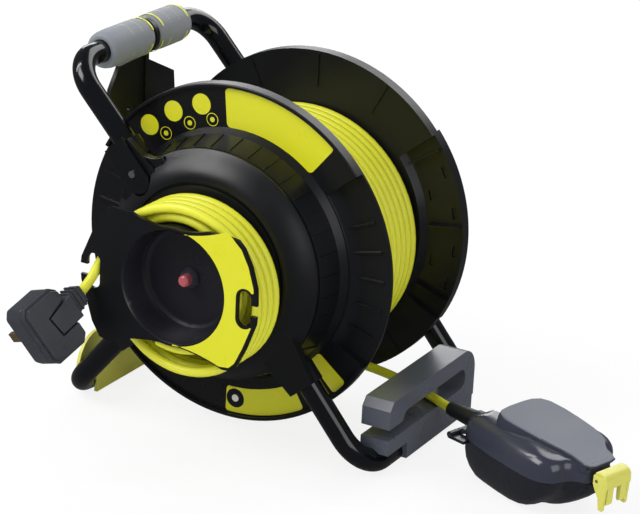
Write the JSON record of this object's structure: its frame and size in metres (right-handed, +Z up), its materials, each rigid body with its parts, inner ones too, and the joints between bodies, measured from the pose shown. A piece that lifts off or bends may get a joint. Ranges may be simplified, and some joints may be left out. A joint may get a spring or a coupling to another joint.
{
  "type": "extension cord reel",
  "caption": "Crank-wound cable reel on a bent tube frame, with a stored lead and plug in front, a cable guide at the foot and a trailing weatherproof socket box",
  "frame": {"origin": "on the floor, in the middle of the reel without its cables and trailing socket", "axes": "+X right, +Y towards the crank side, +Z up; the drum turns about a line along Y"},
  "size_m": [0.5148, 0.4178, 0.3179],
  "materials": {
    "black_rubber": "matt black rubber",
    "black_shell": "fine moulded texture, satin on the edges",
    "black_tube": "satin black powder coat with faint orange peel",
    "brass": "bright brass",
    "dark_grey_shell": "smooth moulded plastic, slightly glossy",
    "grey_guide": "fine moulded texture",
    "grip_foam": "soft-touch grip with yellow stripes",
    "red_button": "red push button",
    "white_nylon": "natural nylon",
    "yellow_cable": "bright yellow cable sheath, slightly soft",
    "yellow_panel": "bright yellow moulding",
    "zinc": "bright zinc plate"
  },
  "bodies": {
    "root": {"handle_tube": "black_tube", "right_foot_tube": "black_tube", "left_foot_tube": "black_tube", "grip_front": "grip_foam", "grip_rear": "grip_foam", "grip_collar": "black_shell", "front_bracket": "black_shell", "rear_bracket": "black_shell", "clamp_cover": "black_shell", "clamp_screws": "zinc", "stub_axle": "zinc", "axle_screws": "zinc", "brush_carrier": "dark_grey_shell", "brushes": "brass", "rear_bush": "white_nylon", "lead_spool": "black_shell", "spool_screws": "zinc", "thermal_cutout": "dark_grey_shell", "button_bush": "dark_grey_shell", "cable_guide": "grey_guide", "foot_plate": "yellow_panel", "lead_coil": "yellow_cable", "lead_tail": "yellow_cable", "plug_body": "dark_grey_shell", "plug_cover": "dark_grey_shell", "plug_pins": "brass", "plug_screw": "zinc", "trailing_cord": "yellow_cable", "strain_relief": "black_rubber", "socket_base": "dark_grey_shell", "outlet_insert": "white_nylon", "socket_gasket": "black_rubber", "socket_hinge_pin": "zinc"},
    "drum": {"front_flange": "black_shell", "hub_ring": "black_shell", "rear_flange": "black_shell", "barrel": "black_shell", "flange_screws": "zinc", "front_bush": "white_nylon", "slip_rings": "brass", "rear_hub": "dark_grey_shell", "crank_arm": "black_shell", "crank_screw": "zinc", "knob_pin": "zinc", "cable_core": "yellow_cable", "cable_winding": "yellow_cable"},
    "crank_knob": {"crank_knob": "black_shell"},
    "reset_button": {"reset_button": "red_button"},
    "wall_bracket": {"wall_bracket": "black_shell"},
    "socket_lid": {"socket_lid": "dark_grey_shell", "latch_pin": "zinc"},
    "socket_latch": {"socket_latch": "yellow_panel"}
  },
  "joints": [
    {"name": "drum_spin", "type": "hinge", "parent": "root", "child": "drum", "pos_m": [0.00204, -0.01, 0.15766], "axis": [0, 1, 0], "continuous": true},
    {"name": "knob_spin", "type": "hinge", "parent": "drum", "child": "crank_knob", "pos_m": [-0.06513, 0.142, 0.11063], "axis": [0, 1, 0], "continuous": true},
    {"name": "reset_push", "type": "slide", "parent": "root", "child": "reset_button", "axis": [0, 1, 0], "range_m": [0, 0.003], "stiffness_N_per_m": 800, "springref_m": -0.001},
    {"name": "bracket_swing", "type": "hinge", "parent": "root", "child": "wall_bracket", "pos_m": [-0.14294, 0.003, 0.3014], "axis": [0, 1, 0], "range_deg": [-4, 25]},
    {"name": "lid_open", "type": "hinge", "parent": "root", "child": "socket_lid", "pos_m": [0.20606, -0.0147, 0.0342], "axis": [-0.309, -0.9511, 0], "range_deg": [0, 42]},
    {"name": "latch_open", "type": "hinge", "parent": "socket_lid", "child": "socket_latch", "pos_m": [0.34073, -0.05845, 0.041], "axis": [-0.309, -0.9511, 0], "range_deg": [0, 50]}
  ]
}
